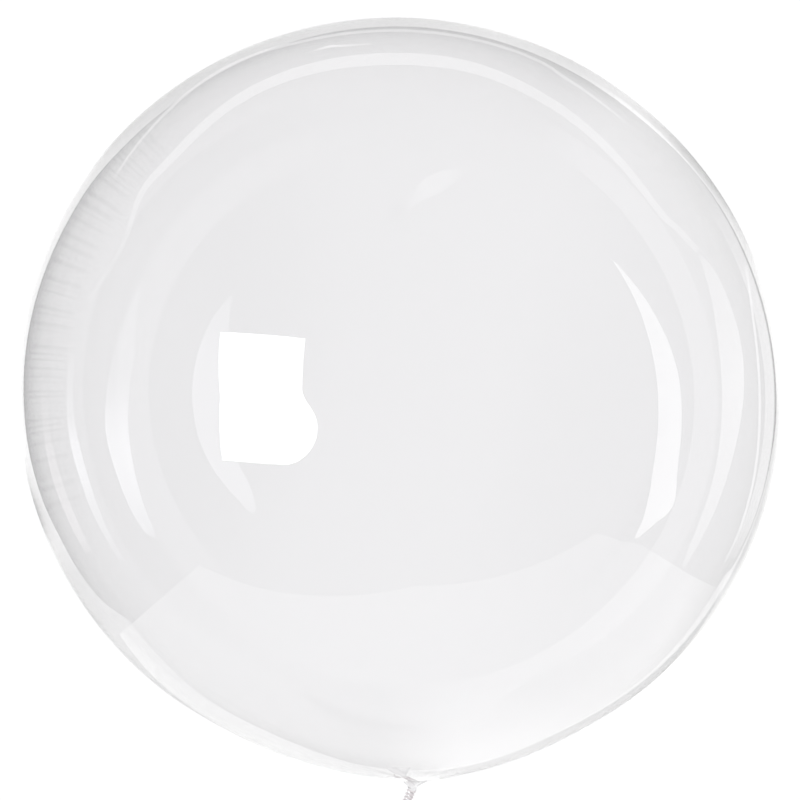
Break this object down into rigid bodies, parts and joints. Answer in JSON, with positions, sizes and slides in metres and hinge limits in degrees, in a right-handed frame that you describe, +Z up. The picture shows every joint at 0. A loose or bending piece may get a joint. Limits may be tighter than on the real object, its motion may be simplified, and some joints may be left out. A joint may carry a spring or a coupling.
{
  "type": "clear bubble balloon",
  "caption": "Clear round bubble balloon of thin see-through film, lying on its side, with a gathered neck, a twisted stem tied with thread and a flat open tail.",
  "frame": {"origin": "middle of the small flat spot under the belly that the balloon lies on", "axes": "+Z up, crown towards +Y, neck and tail towards -Y"},
  "size_m": [0.5024, 0.5682, 0.4981],
  "materials": {
    "clear_film": "clear stretched plastic film, glossy and faintly lilac grey",
    "white_thread": "thin twisted thread, off-white"
  },
  "bodies": {
    "root": {"balloon_film": "clear_film", "neck_thread": "white_thread"}
  },
  "joints": []
}
